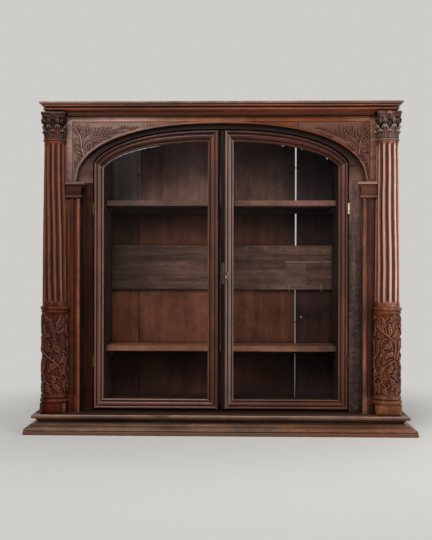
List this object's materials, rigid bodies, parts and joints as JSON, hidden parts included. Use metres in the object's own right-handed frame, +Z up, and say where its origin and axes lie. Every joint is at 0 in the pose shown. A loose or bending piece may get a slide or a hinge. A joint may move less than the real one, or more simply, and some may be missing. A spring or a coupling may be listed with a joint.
{
  "type": "wall display cabinet",
  "caption": "Carved oak wall display cabinet with glazed doors under a flattened arch, engaged fluted columns, moulded cornice and stepped base; doors, key and bolts move.",
  "frame": {"origin": "middle of the base's footprint, on the surface that the cabinet stands on", "axes": "+X to the cabinet's right as its front is seen, +Y towards the wall behind it, +Z up; the doors face -Y"},
  "size_m": [1.19, 0.29, 1.016],
  "materials": {
    "oak": "waxed, worn",
    "pale_oak": "waxed, worn",
    "inner_oak": "matt, dusty",
    "glass": "clear, slightly wavy",
    "brass": "tarnished",
    "steel": "worn, darkened"
  },
  "bodies": {
    "case": {"base_lower_step": "pale_oak", "base_upper_step": "pale_oak", "side_left": "oak", "side_right": "oak", "inner_side_left": "inner_oak", "inner_side_right": "inner_oak", "bottom_board": "inner_oak", "top_board": "inner_oak", "back_plank_left": "inner_oak", "back_plank_middle": "inner_oak", "back_plank_right": "inner_oak", "back_rail": "inner_oak", "shelf_lower": "inner_oak", "shelf_upper": "inner_oak", "shelf_cleat_lower_left": "inner_oak", "shelf_cleat_lower_right": "inner_oak", "shelf_cleat_upper_left": "inner_oak", "shelf_cleat_upper_right": "inner_oak", "shelf_ledger_lower": "inner_oak", "shelf_ledger_upper": "inner_oak", "column_pedestal_left": "oak", "column_pedestal_right": "oak", "column_shaft_left": "oak", "column_shaft_right": "oak", "column_capital_left": "oak", "column_capital_right": "oak", "frame_stile_left": "oak", "frame_stile_right": "oak", "impost_left": "pale_oak", "impost_right": "pale_oak", "surround_jamb_left": "inner_oak", "surround_jamb_right": "inner_oak", "arch_board": "oak", "surround_head": "inner_oak", "cornice_front": "pale_oak", "cornice_return_left": "pale_oak", "cornice_return_right": "pale_oak", "hinge_pin_leaf_lower_left": "brass", "hinge_pin_leaf_upper_left": "brass", "hinge_pin_leaf_lower_right": "brass", "hinge_pin_leaf_upper_right": "brass"},
    "left_door": {"door_hinge_stile_left": "oak", "door_meeting_stile_left": "oak", "door_head_left": "oak", "door_bottom_rail_left": "oak", "door_glass_left": "glass", "hinge_door_leaf_lower_left": "brass", "hinge_door_leaf_upper_left": "brass"},
    "right_door": {"door_hinge_stile_right": "oak", "door_meeting_stile_right": "oak", "door_head_right": "oak", "door_bottom_rail_right": "oak", "door_glass_right": "glass", "hinge_door_leaf_lower_right": "brass", "hinge_door_leaf_upper_right": "brass", "escutcheon": "brass", "lock_case": "steel"},
    "key": {"key": "steel"},
    "lock_bolt": {"lock_bolt": "steel"},
    "door_bolt": {"door_bolt": "steel"}
  },
  "joints": [
    {"name": "left_door_hinge", "type": "hinge", "parent": "case", "child": "left_door", "pos_m": [-0.39825, -0.0486, 0.45], "axis": [0, 0, -1], "range_deg": [0, 110]},
    {"name": "right_door_hinge", "type": "hinge", "parent": "case", "child": "right_door", "pos_m": [0.39825, -0.0486, 0.45], "axis": [0, 0, 1], "range_deg": [0, 110]},
    {"name": "key_turn", "type": "hinge", "parent": "right_door", "child": "key", "pos_m": [0.0085, -0.0462, 0.4815], "axis": [-0.4067, 0.9135, 0], "range_deg": [0, 90]},
    {"name": "lock_bolt_throw", "type": "slide", "parent": "right_door", "child": "lock_bolt", "axis": [-1, 0, 0], "range_m": [0, 0.009]},
    {"name": "door_bolt_drop", "type": "slide", "parent": "left_door", "child": "door_bolt", "axis": [0, 0, -1], "range_m": [0, 0.018]}
  ],
  "couplings": [
    {"joint": "lock_bolt_throw", "follows": "key_turn", "m_per_rad": 0.0057296}
  ]
}
